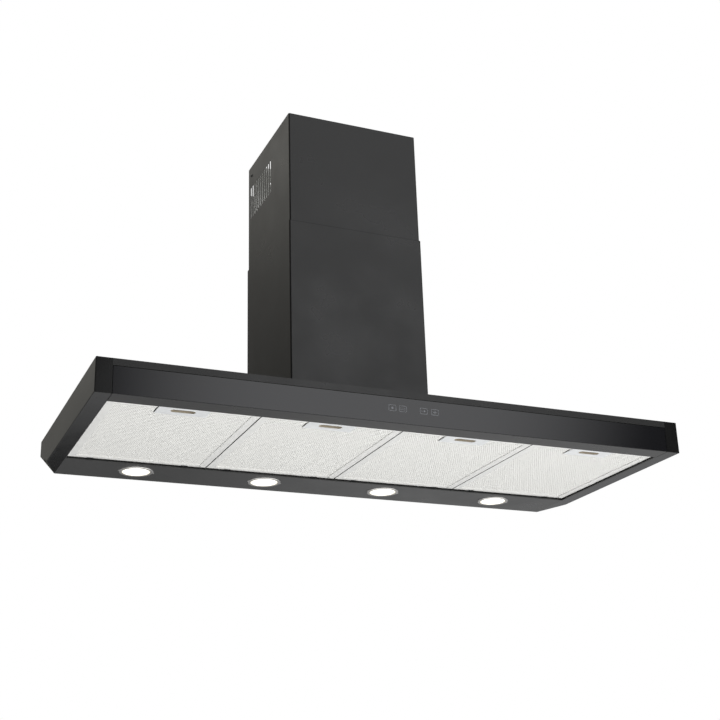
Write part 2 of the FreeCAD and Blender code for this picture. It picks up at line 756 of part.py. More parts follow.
def lamp_clips():
    """Two spring clips per lamp, which hold its bezel in the strip."""
    clips = []
    front, back = f"{LAMP_Y} - clip_width/2", f"{LAMP_Y} + clip_width/2"
    for number in LAMPS:
        for side in (-1, 1):
            name = f"clip_{number}_{'a' if side < 0 else 'b'}"
            x = f"(lamp_pitch*({number} - 2.5))"
            start = f"{x} + {side}*{BEZEL_OUTSIDE}"
            ends = sorted([start, f"{x} + {side}*({LAMP_HOLE} + clip_reach)"], key=size)
            stand = sorted([start, f"{start} + {side}*steel"], key=size)
            foot = block(name + "_foot", *ends, front, back, "steel", "2*steel")
            leg = block(name + "_leg", *stand, front, back, "steel", "steel + bezel_depth")
            clips.append(joined(name, [foot, leg]))
    group("lamp_clips", clips)


# --------------------------------------------------------------------------- blower
def blower_box():
    """Steel box that carries the whole hood on the wall, with the fan inside and its duct outlet on top."""
    body = new_body("blower_box")
    lid = f"{BOX_TOP} - box_steel"
    pad_box(body, f"-{BOX_HALF}", BOX_HALF, BOX_FRONT, "0", TOP, BOX_TOP)
    cut_box(body, f"-{BOX_HALF} + box_steel", f"{BOX_HALF} - box_steel", f"{BOX_FRONT} + box_steel",
            "-box_steel", TOP, lid)
    bore_z(body, "0", "-fan_y", lid, BOX_TOP, COLLAR_BORE)
    bore_z(body, GLAND_X, GLAND_Y, lid, BOX_TOP, "gland_radius")
    for x, y in COLLAR_SCREWS:
        bore_z(body, x, y, lid, BOX_TOP, "screw_radius")
    for side in (-1, 1):
        for level in (-1, 1):
            hole = circle(new_sketch(body, "XZ_Plane", "-box_steel"), f"{side}*wall_hole_x/2",
                          f"{TOP} + box_height/2 + {level}*wall_hole_z/2", "wall_hole_radius")
            feature(body, "Pocket", hole, "box_steel")


def spiral_wall(offset):
    """Closed outline of the fan casing in Y and Z: three growing quarter arcs and the outlet's two walls."""
    first, growth = size("wheel_radius + casing_gap"), size("casing_growth")
    centre_y, centre_z = -size("fan_y"), size(FAN_Z)
    outlet_top = size(f"{BOX_TOP} - box_steel")
    outlet_half = size("collar_radius - outlet_inset") + offset
    corners, edges = [], []
    y, z = centre_y, centre_z
    for turn in range(3):
        radius = first + turn * growth
        if turn:
            angle = math.pi / 2 * (turn + 1)
            y -= growth * math.cos(angle)
            z -= growth * math.sin(angle)
        ends = []
        reach = radius + offset
        for share in (0, 0.5, 1):
            angle = math.pi / 2 * (turn + 1 + share)
            ends.append(Vector(0, y + reach * math.cos(angle), z + reach * math.sin(angle)))
        edges.append(Part.Arc(*ends).toShape())
        corners += [ends[0], ends[2]]
    rest = [
        corners[-1], Vector(0, corners[-1].y, centre_z + first * 0.7),
        Vector(0, centre_y + outlet_half, outlet_top), Vector(0, centre_y - outlet_half, outlet_top),
        corners[0],
    ]
    edges += [Part.makeLine(a, b) for a, b in zip(rest, rest[1:])]
    return Part.Face(Part.Wire(Part.__sortEdges__(edges)))


def fan_casing(side):
    """One half of the spiral casing, split at the middle, with its inlet."""
    label = "casing_left" if side < 0 else "casing_right"
    wall = size("casing_steel")
    half = size("casing_width") / 2
    outer = spiral_wall(0).extrude(AXIS_X * side * half)
    room = spiral_wall(-wall).extrude(AXIS_X * side * (half - wall))
    centre = Vector(0, -size("fan_y"), size(FAN_Z))
    inlet = Part.makeCylinder(size(INLET), half + 1, centre, AXIS_X * side)
    thing = doc.addObject("Part::Feature", label)
    thing.Shape = outer.cut(room).cut(inlet).removeSplitter()
    node(thing, label)


def motor():
    """Motor housing that reaches into the wheel, with its mounting flange and shaft bore."""
    body = new_body("motor")
    start = f"(-{BOX_HALF} + motor_gap)"
    flange = "(-casing_width/2 - 2*bracket_plate)"
    flange_face = f"({flange} + bracket_plate)"
    shoulder, bore = "(motor_radius - motor_chamfer)", "(shaft_radius + shaft_play)"
    turned(body, [
        (start, "0"), (start, shoulder), (f"{start} + motor_chamfer", "motor_radius"),
        (flange, "motor_radius"), (flange, "motor_radius + motor_flange"),
        (flange_face, "motor_radius + motor_flange"), (flange_face, "motor_radius"),
        ("-motor_nose - motor_chamfer", "motor_radius"), ("-motor_nose", shoulder),
        ("-motor_nose", bore), ("-shaft_seat", bore), ("-shaft_seat", "0"),
    ], axis="H_Axis", plane="XY_Plane")
    place(body, y="-fan_y", z=FAN_Z)


def motor_shaft():
    body = new_body("motor_shaft")
    start = "(-shaft_seat + 1)"
    turned(body, [(start, "0"), (start, "shaft_radius"), ("shaft_end", "shaft_radius"), ("shaft_end", "0")],
           axis="H_Axis", plane="XY_Plane")
    place(body, y="-fan_y", z=FAN_Z)


def motor_bracket():
    """Three-armed plate that holds the motor on the casing."""
    body = new_body("motor_bracket")
    face = "-casing_width/2 - bracket_plate"
    ring_width = 14
    ring = circle(new_sketch(body, "YZ_Plane", face), "0", "0", f"{INLET} + {ring_width}")
    feature(body, "Pad", ring, "bracket_plate")
    way = circle(new_sketch(body, "YZ_Plane", face), "0", "0", INLET)
    feature(body, "Pocket", way, "bracket_plate", reverse=True)
    arm = rectangle(new_sketch(body, "YZ_Plane", face), "motor_radius + 2", f"{INLET} + {ring_width / 2}",
                    "-bracket_arm/2", "bracket_arm/2")
    spoke = feature(body, "Pad", arm, "bracket_plate")
    spokes = body.newObject("PartDesign::PolarPattern", "motor_bracket_spokes")
    spokes.Originals = [spoke]
    spokes.Axis = (arm, ["N_Axis"])
    spokes.Angle = 360
    spokes.Occurrences = 3
    body.Tip = spokes
    hub = circle(new_sketch(body, "YZ_Plane", face), "0", "0", "motor_radius + motor_flange + 1")
    feature(body, "Pad", hub, "bracket_plate")
    bore = circle(new_sketch(body, "YZ_Plane", face), "0", "0", "motor_radius")
    feature(body, "Pocket", bore, "bracket_plate", reverse=True)
    place(body, y="-fan_y", z=FAN_Z)


def impeller():
    """Double-inlet wheel: middle disc, a row of blades, two end rings and a hub."""
    body = new_body("impeller")
    disc = circle(new_sketch(body, "YZ_Plane", "-1"), "0", "0", "wheel_radius")
    feature(body, "Pad", disc, "2")
    hub = circle(new_sketch(body, "YZ_Plane", "-1"), "0", "0", "shaft_radius + hub_wall")
    feature(body, "Pad", hub, "hub_length")
    foot, tip = "-4", "(wheel_radius - 0.5)"
    blade = polygon(new_sketch(body, "YZ_Plane"), [
        (WHEEL_BORE, foot), (tip, f"{foot} + blade_lead"), (tip, f"{foot} + blade_lead + blade_thick"),
        (WHEEL_BORE, f"{foot} + blade_thick"),
    ])
    first = feature(body, "Pad", blade, "wheel_width", symmetric=True)
    blades = body.newObject("PartDesign::PolarPattern", "impeller_blades")
    blades.Originals = [first]
    blades.Axis = (blade, ["N_Axis"])
    blades.Angle = 360
    tie(blades, "Occurrences", "blade_count")
    body.Tip = blades
    for start in ("-wheel_width/2", "wheel_width/2 - wheel_ring_width"):
        ring = circle(new_sketch(body, "YZ_Plane", start), "0", "0", "wheel_radius")
        circle(ring, "0", "0", "wheel_radius - wheel_ring")
        feature(body, "Pad", ring, "wheel_ring_width")
    bore = circle(new_sketch(body, "YZ_Plane", "-1"), "0", "0", "shaft_radius")
    feature(body, "Pocket", bore, "hub_length", reverse=True)
    place(body, y="-fan_y", z=FAN_Z)


def outlet_collar():
    """Round duct collar on a square plate, with the holes for the two flap pins."""
    body = new_body("outlet_collar")
    pad_box(body, f"-{COLLAR_HALF}", COLLAR_HALF, f"-{COLLAR_HALF}", COLLAR_HALF, "0", "collar_wall")
    tube = circle(new_sketch(body), "0", "0", "collar_radius")
    feature(body, "Pad", tube, "collar_height")
    way = circle(new_sketch(body), "0", "0", COLLAR_BORE)
    feature(body, "Pocket", way, "collar_height", reverse=True)
    for side in (-1, 1):
        hole = circle(new_sketch(body, "YZ_Plane"), f"{side}*flap_offset", "flap_height", "pin_radius")
        feature(body, "Pocket", hole, f"2*{COLLAR_HALF}", symmetric=True)
    for x, y in COLLAR_SCREWS:
        bore_z(body, x, f"{y} + fan_y", "0", "collar_wall", "screw_radius")
    place(body, y="-fan_y", z=BOX_TOP)


def flap_pin(name, side):
    half = "(collar_radius - pin_inset)"
    return rod(name, "pin_radius", f"2*{half}", f"-{half}", f"-fan_y + {side}*flap_offset", FLAP_Z, AXIS_X)


def flap(side):
    """One half-round non-return flap with its rolled knuckle. It falls shut by its own weight."""
    label = "front_flap" if side < 0 else "rear_flap"
    edge = f"(-fan_y + {side}*flap_offset)"
    reach = f"({COLLAR_BORE} - flap_gap)"
    disc = rod(label + "_disc", reach, "flap_thick", "0", "-fan_y", f"{FLAP_Z} - flap_thick/2")
    sides = sorted([edge, f"-fan_y + {side}*collar_radius"], key=size)
    low, high = f"{FLAP_Z} - flap_thick/2", f"{FLAP_Z} + flap_thick/2"
    half = block(label + "_half", "-collar_radius", "collar_radius", *sides, low, high)
    leaf = doc.addObject("Part::Common", label + "_leaf")
    leaf.Base = disc
    leaf.Tool = half
    knuckle = rod(label + "_knuckle", "pin_radius + knuckle_wall", "2*(collar_radius - knuckle_inset)",
                  "-collar_radius + knuckle_inset", edge, FLAP_Z, AXIS_X)
    solid = joined(label + "_solid", [leaf, knuckle])
    bore = rod(label + "_bore", "pin_radius + pin_play", "2*collar_radius", "-collar_radius", edge, FLAP_Z,
               AXIS_X)
    node(cut(label, solid, bore), label)


def power_box(label, x0, x1, y0, y1, depth):
    """Electrical box hung under the top sheet, hollow, with rounded upright edges and an open underside."""
    body = new_body(label)
    under = f"{TOP} - steel"
    pad_box(body, x0, x1, y0, y1, f"{under} - {depth}", under)
    corners = [(size(x), size(y)) for x in (x0, x1) for y in (y0, y1)]

    def is_corner(edge):
        box = edge.BoundBox
        upright = box.XLength < 1e-6 and box.YLength < 1e-6
        return upright and any(abs(box.XMin - x) + abs(box.YMin - y) < 1e-4 for x, y in corners)

    round_edges(body, "power_round", is_corner)
    cut_box(body, f"{x0} + power_wall", f"{x1} - power_wall", f"{y0} + power_wall", f"{y1} - power_wall",
            f"{under} - {depth}", f"{under} - power_lid")


def cable_gland():
    """Gland for the supply cable, in the blower box's top."""
    body = new_body("cable_gland")
    turned(body, [
        ("cable_radius", "-gland_below"), ("gland_radius", "-gland_below"), ("gland_radius", "0"),
        ("gland_radius + gland_flange", "0"), ("gland_radius + gland_flange", "gland_nut"),
        ("gland_radius + gland_flange/4", "gland_above"), ("cable_radius", "gland_above"),
    ])
    place(body, x=GLAND_X, y=GLAND_Y, z=BOX_TOP)


# --------------------------------------------------------------------------- chimney
def cover_outline(half, front, back):
    """Three-sided cover in plan, with its two rear edges turned inwards."""
    inner, inner_back = f"({half} - steel)", f"({back} - steel)"
    tip = f"({half} - rear_return)"
    return [
        (f"-{half}", back), (f"-{half}", front), (half, front), (half, back), (tip, back), (tip, inner_back),
        (inner, inner_back), (inner, f"{front} + steel"), (f"-{inner}", f"{front} + steel"),
        (f"-{inner}", inner_back), (f"-{tip}", inner_back), (f"-{tip}", back),
    ]


def lower_chimney():
    """Lower cover, standing on the canopy."""
    body = new_body("lower_chimney")
    half, front = "(chimney_width/2)", "(-chimney_depth)"
    plan = polygon(new_sketch(body, "XY_Plane", TOP), cover_outline(half, front, "0"))
    feature(body, "Pad", plan, "lower_length")
    pad_box(body, f"-{half} + steel/2", f"{half} - steel/2", f"{front} + steel/2", f"{front} + cover_flange",
            TOP, f"{TOP} + steel")
    for x, y in COVER_SCREWS:
        bore_z(body, x, y, TOP, f"{TOP} + steel", "screw_radius")
    x, y = size(half), size(front)
    inner_x, inner_y = x - size("steel"), y + size("steel")
    round_edges(body, "cover_round", lambda e: upright_at(e, x, y))
    round_edges(body, "cover_round - steel", lambda e: upright_at(e, inner_x, inner_y))


def upper_chimney():
    """Upper cover, sliding inside the lower one, with a row of air slots in each side."""
    body = new_body("upper_chimney")
    back = "(-chimney_wall_gap)"
    plan = polygon(new_sketch(body, "XY_Plane", UPPER_LOW), cover_outline(UPPER_HALF, UPPER_FRONT, back))
    feature(body, "Pad", plan, "upper_length")
    inner = f"({UPPER_HALF} - steel)"
    for side in (-1, 1):
        edges = sorted([f"{side}*{inner}", f"{side}*({UPPER_HALF} - rear_return)"], key=size)
        cut_box(body, *edges, f"{back} - steel", back, f"{UPPER_TOP} - return_stop", UPPER_TOP)
    x, y = size(UPPER_HALF), size(UPPER_FRONT)
    inner_x, inner_y = x - size("steel"), y + size("steel")
    round_edges(body, "cover_round", lambda e: upright_at(e, x, y))
    round_edges(body, "cover_round - steel", lambda e: upright_at(e, inner_x, inner_y))
    slot_y = "(-slot_rear - (slot_count - 1)*slot_pitch)"
    slot_top = f"({UPPER_TOP} - slot_drop)"
    slot = rectangle(new_sketch(body, "YZ_Plane"), f"{slot_y} - slot_width/2", f"{slot_y} + slot_width/2",
                     f"{slot_top} - slot_height", slot_top)
    first = feature(body, "Pocket", slot, "chimney_width", symmetric=True)
    patterned(body, first, "H_Axis", "(slot_count - 1)*slot_pitch", "slot_count")
    hole = circle(new_sketch(body, "YZ_Plane"), BRACKET_SCREW_Y, BRACKET_SCREW_Z, "screw_radius")
    feature(body, "Pocket", hole, "chimney_width", symmetric=True)


def wall_bracket():
    """Bracket at the ceiling end: wall plate with a leg at each side, shelf, and two ears that the upper
    cover is screwed to."""
    body = new_body("wall_bracket")
    inside = f"({UPPER_HALF} - steel - bracket_play)"
    plate = f"({UPPER_HALF} - rear_return - bracket_stop)"
    high = f"({UPPER_TOP} - bracket_drop)"
    low = f"({high} - bracket_height)"
    pad_box(body, f"-{plate}", plate, "-bracket_steel", "0", low, high)
    pad_box(body, f"-{inside}", inside, "-bracket_reach", "-bracket_ear_gap", f"{high} - bracket_steel", high)
    pad_box(body, f"-{plate}", plate, "-bracket_ear_gap - 1", "0", f"{high} - bracket_steel", high)
    for side in (-1, 1):
        leg = sorted([f"{side}*{plate}", f"{side}*({plate} - bracket_leg_width)"], key=size)
        pad_box(body, *leg, "-bracket_steel", "0", f"{low} - bracket_leg_length", low)
        edges = sorted([f"{side}*{inside}", f"{side}*({inside} - bracket_steel)"], key=size)
        pad_box(body, *edges, "-bracket_reach", "-bracket_ear_gap", low, high)
        hole = circle(new_sketch(body, "XZ_Plane", "-bracket_steel"), f"{side}*bracket_hole_x",
                      f"{low} + bracket_hole_z", "bracket_hole_radius")
        feature(body, "Pocket", hole, "bracket_steel")
    ear_hole = circle(new_sketch(body, "YZ_Plane"), BRACKET_SCREW_Y, BRACKET_SCREW_Z, "screw_radius")
    feature(body, "Pocket", ear_hole, "chimney_width", symmetric=True)


# --------------------------------------------------------------------------- fixings
def screw(name, x, y, z, along):
    """A pan-head screw whose head's underside is at the given place; along points down its shank."""
    head = rod(name + "_head", "screw_head", "screw_head/2", x, y, z, along * -1)
    shank = rod(name + "_shank", "screw_radius", "screw_length", x, y, z, along)
    return joined(name, [head, shank])


def bracket_screws():
    """Screws from outside through the upper cover and into the bracket's ears."""
    screws = []
    for side in (-1, 1):
        screws.append(screw(f"bracket_screw_{'a' if side < 0 else 'b'}", f"{side}*{UPPER_HALF}",
                            BRACKET_SCREW_Y, BRACKET_SCREW_Z, AXIS_X * -side))
    group("bracket_screws", screws)


def cover_screws():
    """Screws that hold the lower cover's front flange to the canopy, and the collar to the box."""
    screws = []
    for i, (x, y) in enumerate(COVER_SCREWS):
        screws.append(screw(f"cover_screw_{i}", x, y, f"{TOP} + steel", AXIS_Z * -1))
    for i, (x, y) in enumerate(COLLAR_SCREWS):
        screws.append(screw(f"collar_screw_{i}", x, y, f"{BOX_TOP} + collar_wall", AXIS_Z * -1))
    group("cover_screws", screws)


# --------------------------------------------------------------------------- assembly
canopy_top()
front_rail()
back_panel()
light_panel()
for hand in (-1, 1):
    side_panel(hand)
    end_cap(hand)
glass_panel()
glass_tape()
touch_board()
for index in FILTERS:
    filter_frame(index)
    filter_mesh(index)
    latch(index)
    latch_spring(index)
filter_hooks()
for index in LAMPS:
    lamp(index)
lamp_clips()
blower_box()
fan_casing(-1)
fan_casing(1)
motor()
motor_shaft()
motor_bracket()
impeller()
outlet_collar()
flap(-1)
flap(1)
group("flap_pins", [flap_pin("front_pin", -1), flap_pin("rear_pin", 1)])
power_box("control_box", "-350", "-200", "-rear_strip + 14", "-12", "34")
power_box("led_driver", "200", "340", "-rear_strip + 20", "-20", "24")
cable_gland()
lower_chimney()
upper_chimney()
wall_bracket()
bracket_screws()
cover_screws()

doc.recompute()
faults = [o.Name for o in doc.Objects if {"Invalid", "Error"} & set(o.State)]
faults += [o.Label for o in NODES if o.Shape.isNull() or not o.Shape.isValid() or not o.Shape.Solids]
if faults:
    raise SystemExit("failed objects: " + ", ".join(faults))
os.makedirs("parts", exist_ok=True)
for thing in NODES:
    thing.Shape.exportStep(f"parts/{thing.Label}.step")
print(len(NODES), "sub-parts,", sum(len(o.Shape.Solids) for o in NODES), "solids")
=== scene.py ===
"""Wall chimney range hood: looks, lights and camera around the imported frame. Lengths are in metres."""
import json
import math
import bmesh
import bpy
from mathutils import Matrix, Vector


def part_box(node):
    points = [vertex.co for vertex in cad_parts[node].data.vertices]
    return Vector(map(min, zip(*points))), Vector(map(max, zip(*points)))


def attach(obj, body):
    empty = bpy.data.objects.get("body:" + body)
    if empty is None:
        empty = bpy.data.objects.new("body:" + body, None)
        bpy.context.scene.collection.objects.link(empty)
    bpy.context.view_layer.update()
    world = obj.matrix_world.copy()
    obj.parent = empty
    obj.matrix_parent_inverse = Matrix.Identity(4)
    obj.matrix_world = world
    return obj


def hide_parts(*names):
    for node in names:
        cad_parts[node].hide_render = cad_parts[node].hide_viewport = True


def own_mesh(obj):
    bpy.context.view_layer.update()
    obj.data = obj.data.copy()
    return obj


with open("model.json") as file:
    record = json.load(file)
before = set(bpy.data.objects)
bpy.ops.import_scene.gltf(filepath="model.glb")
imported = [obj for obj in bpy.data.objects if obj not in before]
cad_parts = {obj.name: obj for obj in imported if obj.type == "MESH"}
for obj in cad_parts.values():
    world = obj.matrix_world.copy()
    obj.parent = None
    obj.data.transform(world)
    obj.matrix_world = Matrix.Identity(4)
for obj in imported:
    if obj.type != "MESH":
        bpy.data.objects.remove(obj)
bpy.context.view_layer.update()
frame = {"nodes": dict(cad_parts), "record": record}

MM = 0.001
NODES = frame["nodes"]
SLOT_OF = {s["node"]: s["material_slot"] for s in frame["record"]["subparts"]}
FILTERS = range(1, 5)
LAMPS = range(1, 5)
SHEET = 0.5 * MM          # steel of the chimney covers
PEEL_RELIEF = 0.15 * MM   # depth of a baked coat's orange peel
BRUSH_RELIEF = 0.1 * MM   # depth of brushed lines
GRAIN_RELIEF = 0.2 * MM   # depth of moulded or frosted grain
BLACK = (0.018, 0.018, 0.0177)
BARE_SHEET = (0.36, 0.36, 0.345)
# dark colour of the painted shade lines on the chimney covers' bends and top edges
PAINTED_SHADE_LINE = (0.002, 0.002, 0.002)


# ------------------------------------------------------------------ nodes
def feed(tree, socket, value):
    """Gives a socket another socket's value, a colour of three numbers, or a constant."""
    if isinstance(value, bpy.types.NodeSocket):
        tree.links.new(value, socket)
    elif socket.type == "RGBA":
        socket.default_value = (*value, 1.0)
    else:
        socket.default_value = value


def add(tree, kind, **values):
    """A node with its plain properties and its inputs set by name, in the order given."""
    made = tree.nodes.new(kind)
    for key, value in values.items():
        label = key.replace("_", " ")
        if label in made.inputs:
            feed(tree, made.inputs[label], value)
        else:
            setattr(made, key, value)
    return made


def maths(tree, operation, *values):
    made = add(tree, "ShaderNodeMath", operation=operation)
    for socket, value in zip(made.inputs, values):
        feed(tree, socket, value)
    return made.outputs[0]


def ranged(tree, value, low, high, out_low=0.0, out_high=1.0):
    """A value eased from one range into another."""
    return add(tree, "ShaderNodeMapRange", interpolation_type="SMOOTHSTEP", Value=value, From_Min=low,
               From_Max=high, To_Min=out_low, To_Max=out_high).outputs["Result"]


def mixed(tree, kind, mask, off, on):
    """A colour (RGBA) or a level (FLOAT) between two others, by a mask."""
    return add(tree, "ShaderNodeMix", data_type=kind, Factor=mask, A=off, B=on).outputs["Result"]


def object_point(tree):
    """Object coordinates of the shaded point."""
    return tree.nodes.new("ShaderNodeTexCoord").outputs["Object"]


def axes_of(tree, point):
    split = tree.nodes.new("ShaderNodeSeparateXYZ")
    tree.links.new(point, split.inputs[0])
    return split.outputs


# ------------------------------------------------------------------ shader node groups
def new_group(name, inputs, outputs):
    """A shader node group with its named inputs and float outputs, and the nodes at its two ends."""
    group = bpy.data.node_groups.new(name, "ShaderNodeTree")
    for label, value in inputs.items():
        kind = "NodeSocketVector" if isinstance(value, tuple) else "NodeSocketFloat"
        group.interface.new_socket(label, in_out="INPUT", socket_type=kind).default_value = value
    for label in outputs:
        group.interface.new_socket(label, in_out="OUTPUT", socket_type="NodeSocketFloat")
    return group, group.nodes.new("NodeGroupInput").outputs, group.nodes.new("NodeGroupOutput").inputs


def coat_grain_group():
    """Orange peel of a baked coat: a height and a small change in roughness."""
    group, given, result = new_group(
        "coat_grain", {"Scale": 700.0, "Roughness": 0.3}, ("Height", "Roughness"))
    point = object_point(group)
    peel = add(group, "ShaderNodeTexNoise", Detail=2.0, Roughness=0.5, Vector=point, Scale=given["Scale"])
    cloud = add(group, "ShaderNodeTexNoise", Scale=9.0, Detail=3.0, Roughness=0.55, Vector=point)
    feed(group, result["Height"], peel.outputs["Fac"])
    change = ranged(group, cloud.outputs["Fac"], 0.3, 0.7, -0.03, 0.03)
    feed(group, result["Roughness"], maths(group, "ADD", given["Roughness"], change))
    return group


def smudge_group():
    """Faint wiped patches and fingerprints left on a dark surface, as a mask."""
    group, given, result = new_group("smudges", {"Scale": 14.0, "Amount": 1.0}, ("Mask",))
    patch = add(group, "ShaderNodeTexNoise", Detail=4.0, Roughness=0.6, Distortion=0.4,
                Vector=object_point(group), Scale=given["Scale"])
    mask = ranged(group, patch.outputs["Fac"], 0.62, 0.78)
    feed(group, result["Mask"], maths(group, "MULTIPLY", mask, given["Amount"]))
    return group


def brush_group():
    """Fine brushed lines along one axis: a height and a roughness."""
    group, given, result = new_group(
        "brushed", {"Stretch": (30.0, 1200.0, 1200.0), "Roughness": 0.3}, ("Height", "Roughness"))
    scaled = add(group, "ShaderNodeVectorMath", operation="MULTIPLY")
    feed(group, scaled.inputs[0], object_point(group))
    feed(group, scaled.inputs[1], given["Stretch"])
    lines = add(group, "ShaderNodeTexNoise", Scale=1.0, Detail=3.0, Roughness=0.6, Vector=scaled.outputs[0])
    feed(group, result["Height"], lines.outputs["Fac"])
    change = ranged(group, lines.outputs["Fac"], 0.3, 0.7, -0.07, 0.07)
    feed(group, result["Roughness"], maths(group, "ADD", given["Roughness"], change))
    return group


def spangle_group():
    """Zinc spangle of galvanised sheet: a brightness and a roughness that change from crystal to crystal."""
    group, given, result = new_group("spangle", {"Scale": 190.0}, ("Value", "Roughness"))
    crystals = add(group, "ShaderNodeTexVoronoi", Randomness=0.8, Vector=object_point(group),
                   Scale=given["Scale"])
    split = group.nodes.new("ShaderNodeSeparateColor")
    feed(group, split.inputs[0], crystals.outputs["Color"])
    feed(group, result["Value"], ranged(group, split.outputs[0], 0.0, 1.0, 0.93, 1.05))
    feed(group, result["Roughness"], ranged(group, split.outputs[1], 0.0, 1.0, 0.37, 0.45))
    return group


GRAIN = coat_grain_group()
SMUDGES = smudge_group()
BRUSHED = brush_group()
SPANGLE = spangle_group()


# ------------------------------------------------------------------ materials
def new_material(name, colour, roughness=0.5, metallic=0.0, **sockets):
    """A material with its Principled shader; the sockets that stay the same all over are set on it."""
    material = bpy.data.materials.new(name)
    material.use_nodes = True
    shader = material.node_tree.nodes["Principled BSDF"]
    values = {"Base_Color": colour, "Roughness": roughness, "Metallic": metallic, **sockets}
    for label, value in values.items():
        feed(material.node_tree, shader.inputs[label.replace("_", " ")], value)
    return material, material.node_tree, shader


def use(tree, group, **values):
    """A node group placed in a material, with its inputs set; its outputs by name."""
    return add(tree, "ShaderNodeGroup", node_tree=group, **values).outputs


def bump(tree, shader, height, strength, distance):
    made = add(tree, "ShaderNodeBump", Strength=strength, Distance=distance, Height=height)
    feed(tree, shader.inputs["Normal"], made.outputs["Normal"])


def tinted(tree, shader, mask, plain, marked):
    """Base colour between two colours, by a mask."""
    feed(tree, shader.inputs["Base Color"], mixed(tree, "RGBA", mask, plain, marked))


def shaded(tree, colour, level):
    """A colour made brighter or darker by a level about 1."""
    return add(tree, "ShaderNodeHueSaturation", Color=colour, Value=level).outputs["Color"]


def scaled_colour(colour, share):
    return tuple(c * share for c in colour)


def black_coat(name, colour, roughness, grain=900.0, height=0.05, smudge=0.5):
    """Semi-gloss black baked coat with orange peel and faint handling marks."""
    material, tree, shader = new_material(name, colour, roughness)
    peel = use(tree, GRAIN, Scale=grain, Roughness=roughness)
    marks = use(tree, SMUDGES, Amount=smudge)
    feed(tree, shader.inputs["Roughness"], peel["Roughness"])
    tinted(tree, shader, marks["Mask"], colour, scaled_colour(colour, 0.55))
    bump(tree, shader, peel["Height"], height, PEEL_RELIEF)
    return material


def cover_coat(node):
    """Black coat on a chimney cover's outside, with a painted shade line round its front bends and along its
    top edge; its inside is left as grey primed sheet."""
    low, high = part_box(node)
    material, tree, shader = new_material(node + "_coat", BLACK, 0.3)
    peel = use(tree, GRAIN, Scale=900.0, Roughness=0.3)
    marks = use(tree, SMUDGES, Scale=7.0, Amount=0.4)
    primer = use(tree, SPANGLE, Scale=90.0)
    feed(tree, shader.inputs["Roughness"], peel["Roughness"])
    outside = mixed(tree, "RGBA", marks["Mask"], BLACK, scaled_colour(BLACK, 0.6))
    x, y, z = axes_of(tree, object_point(tree))
    half_width = maths(tree, "ABSOLUTE", x)
    within = maths(tree, "LESS_THAN", half_width, high.x - SHEET)
    inside = maths(tree, "MULTIPLY", within, maths(tree, "GREATER_THAN", y, low.y + SHEET))
    coat = mixed(tree, "RGBA", inside, outside, shaded(tree, BARE_SHEET, primer["Value"]))
    # painted shade: a dark line is laid round the front bends and along the top edge
    bend_start, bend_end = 2.8 * MM, 2.2 * MM
    across = ranged(tree, half_width, high.x - bend_start, high.x - bend_end)
    bend_shade = maths(tree, "MULTIPLY", across, ranged(tree, y, low.y + bend_end, low.y + bend_start, 1.0, 0.0))
    top_edge_shade = ranged(tree, z, high.z - 2.2 * MM, high.z - 1.0 * MM)
    tinted(tree, shader, maths(tree, "MAXIMUM", bend_shade, top_edge_shade), coat, PAINTED_SHADE_LINE)
    bump(tree, shader, peel["Height"], 0.05, PEEL_RELIEF)
    return material


def brushed_shader(name, colour, roughness, stretch, height):
    """Metal with brushed lines; its own colour is still to be laid on it."""
    material, tree, shader = new_material(name, colour, roughness, 1.0)
    lines = use(tree, BRUSHED, Stretch=stretch, Roughness=roughness)
    feed(tree, shader.inputs["Roughness"], lines["Roughness"])
    bump(tree, shader, lines["Height"], height, BRUSH_RELIEF)
    return material, tree, shader, lines


def brushed_metal(name, colour, roughness, line_scale, height=0.12):
    material, tree, shader, lines = brushed_shader(name, colour, roughness, (line_scale,) * 3, height)
    tinted(tree, shader, lines["Height"], scaled_colour(colour, 0.86), colour)
    return material


def latch_metal():
    """Fine brushed latch plate; the finger recess in it has a painted warm shade, and painted shadow towards
    its bottom.
    """
    low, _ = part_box("latch_1")
    plate, recess_warm_shade, recess_deep_shadow = (0.9, 0.915, 0.93), (0.82, 0.78, 0.68), (0.3, 0.25, 0.18)
    material, tree, shader, _ = brushed_shader("latch_plate", plate, 0.5, (30.0, 1300.0, 1300.0), 0.12)
    _, _, z = axes_of(tree, object_point(tree))
    # painted shade: the recess walls are tinted warm and get darker with depth
    colour = mixed(tree, "RGBA", ranged(tree, z, low.z + 0.2 * MM, low.z + 1.2 * MM), plate, recess_warm_shade)
    tinted(tree, shader, ranged(tree, z, low.z + 3.2 * MM, low.z + 4.6 * MM), colour, recess_deep_shadow)
    return material


def frame_metal():
    """Brushed aluminium of the filter frames, with painted shadow on the narrow sides that face the gaps
    between them.
    """
    edges = sorted(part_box(f"filter_{number}_frame")[side].x for number in FILTERS for side in (0, 1))
    half_gap = (edges[2] - edges[1]) / 2
    gap_middle = (edges[2] + edges[1]) / 2
    pitch = edges[2] - edges[0]
    colour, shadow, skin = (0.87, 0.87, 0.86), (0.1, 0.1, 0.098), 0.3 * MM
    material, tree, shader, _ = brushed_shader("filter_frame", colour, 0.55, (1200.0, 40.0, 1200.0), 0.12)
    x, _, _ = axes_of(tree, object_point(tree))
    across = maths(tree, "FLOORED_MODULO", x, pitch)
    offset = (gap_middle + pitch / 2) % pitch - pitch / 2
    from_gap = maths(tree, "PINGPONG", maths(tree, "ADD", across, pitch - offset), pitch / 2)
    # painted shadow on the frame sides within the gaps
    tinted(tree, shader, maths(tree, "LESS_THAN", from_gap, half_gap + skin), colour, shadow)
    return material


def galvanised(name, colour):
    material, tree, shader = new_material(name, colour, 0.4, 1.0)
    zinc = use(tree, SPANGLE)
    feed(tree, shader.inputs["Roughness"], zinc["Roughness"])
    feed(tree, shader.inputs["Base Color"], shaded(tree, colour, zinc["Value"]))
    return material


